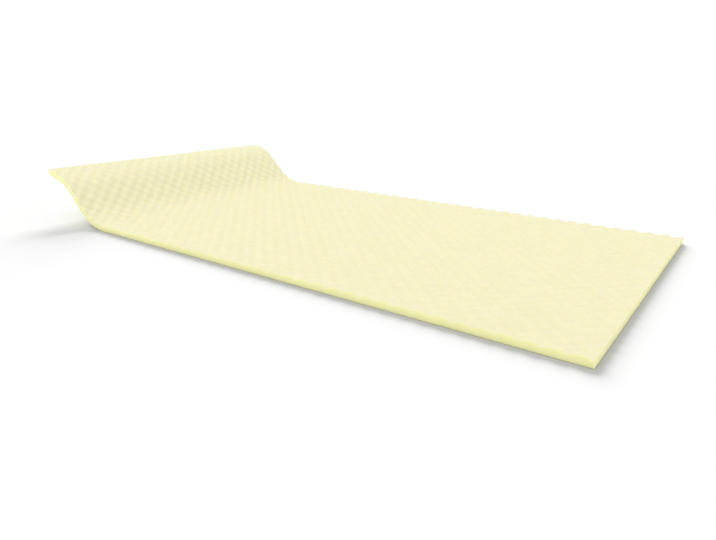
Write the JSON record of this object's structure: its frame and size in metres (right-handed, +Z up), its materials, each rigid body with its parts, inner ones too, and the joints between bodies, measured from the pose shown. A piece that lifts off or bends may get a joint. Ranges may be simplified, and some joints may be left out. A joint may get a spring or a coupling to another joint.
{
  "type": "convoluted foam mattress topper",
  "caption": "Thin one-piece foam pad for a single bed, flat underneath with egg-crate peaks and dimples on top, lying flat with its head end lifted in an S-shaped curve.",
  "frame": {"origin": "middle of the pad's outline, on the surface that it rests on", "axes": "+X along the pad towards its foot end, the lifted head end being at -X; +Y across the pad; +Z up"},
  "size_m": [1.8579, 0.965, 0.1761],
  "materials": {
    "foam": "matt pale yellow open-cell polyurethane foam with a profile-cut top and sawn sides"
  },
  "bodies": {
    "root": {"foam_pad": "foam"}
  },
  "joints": []
}
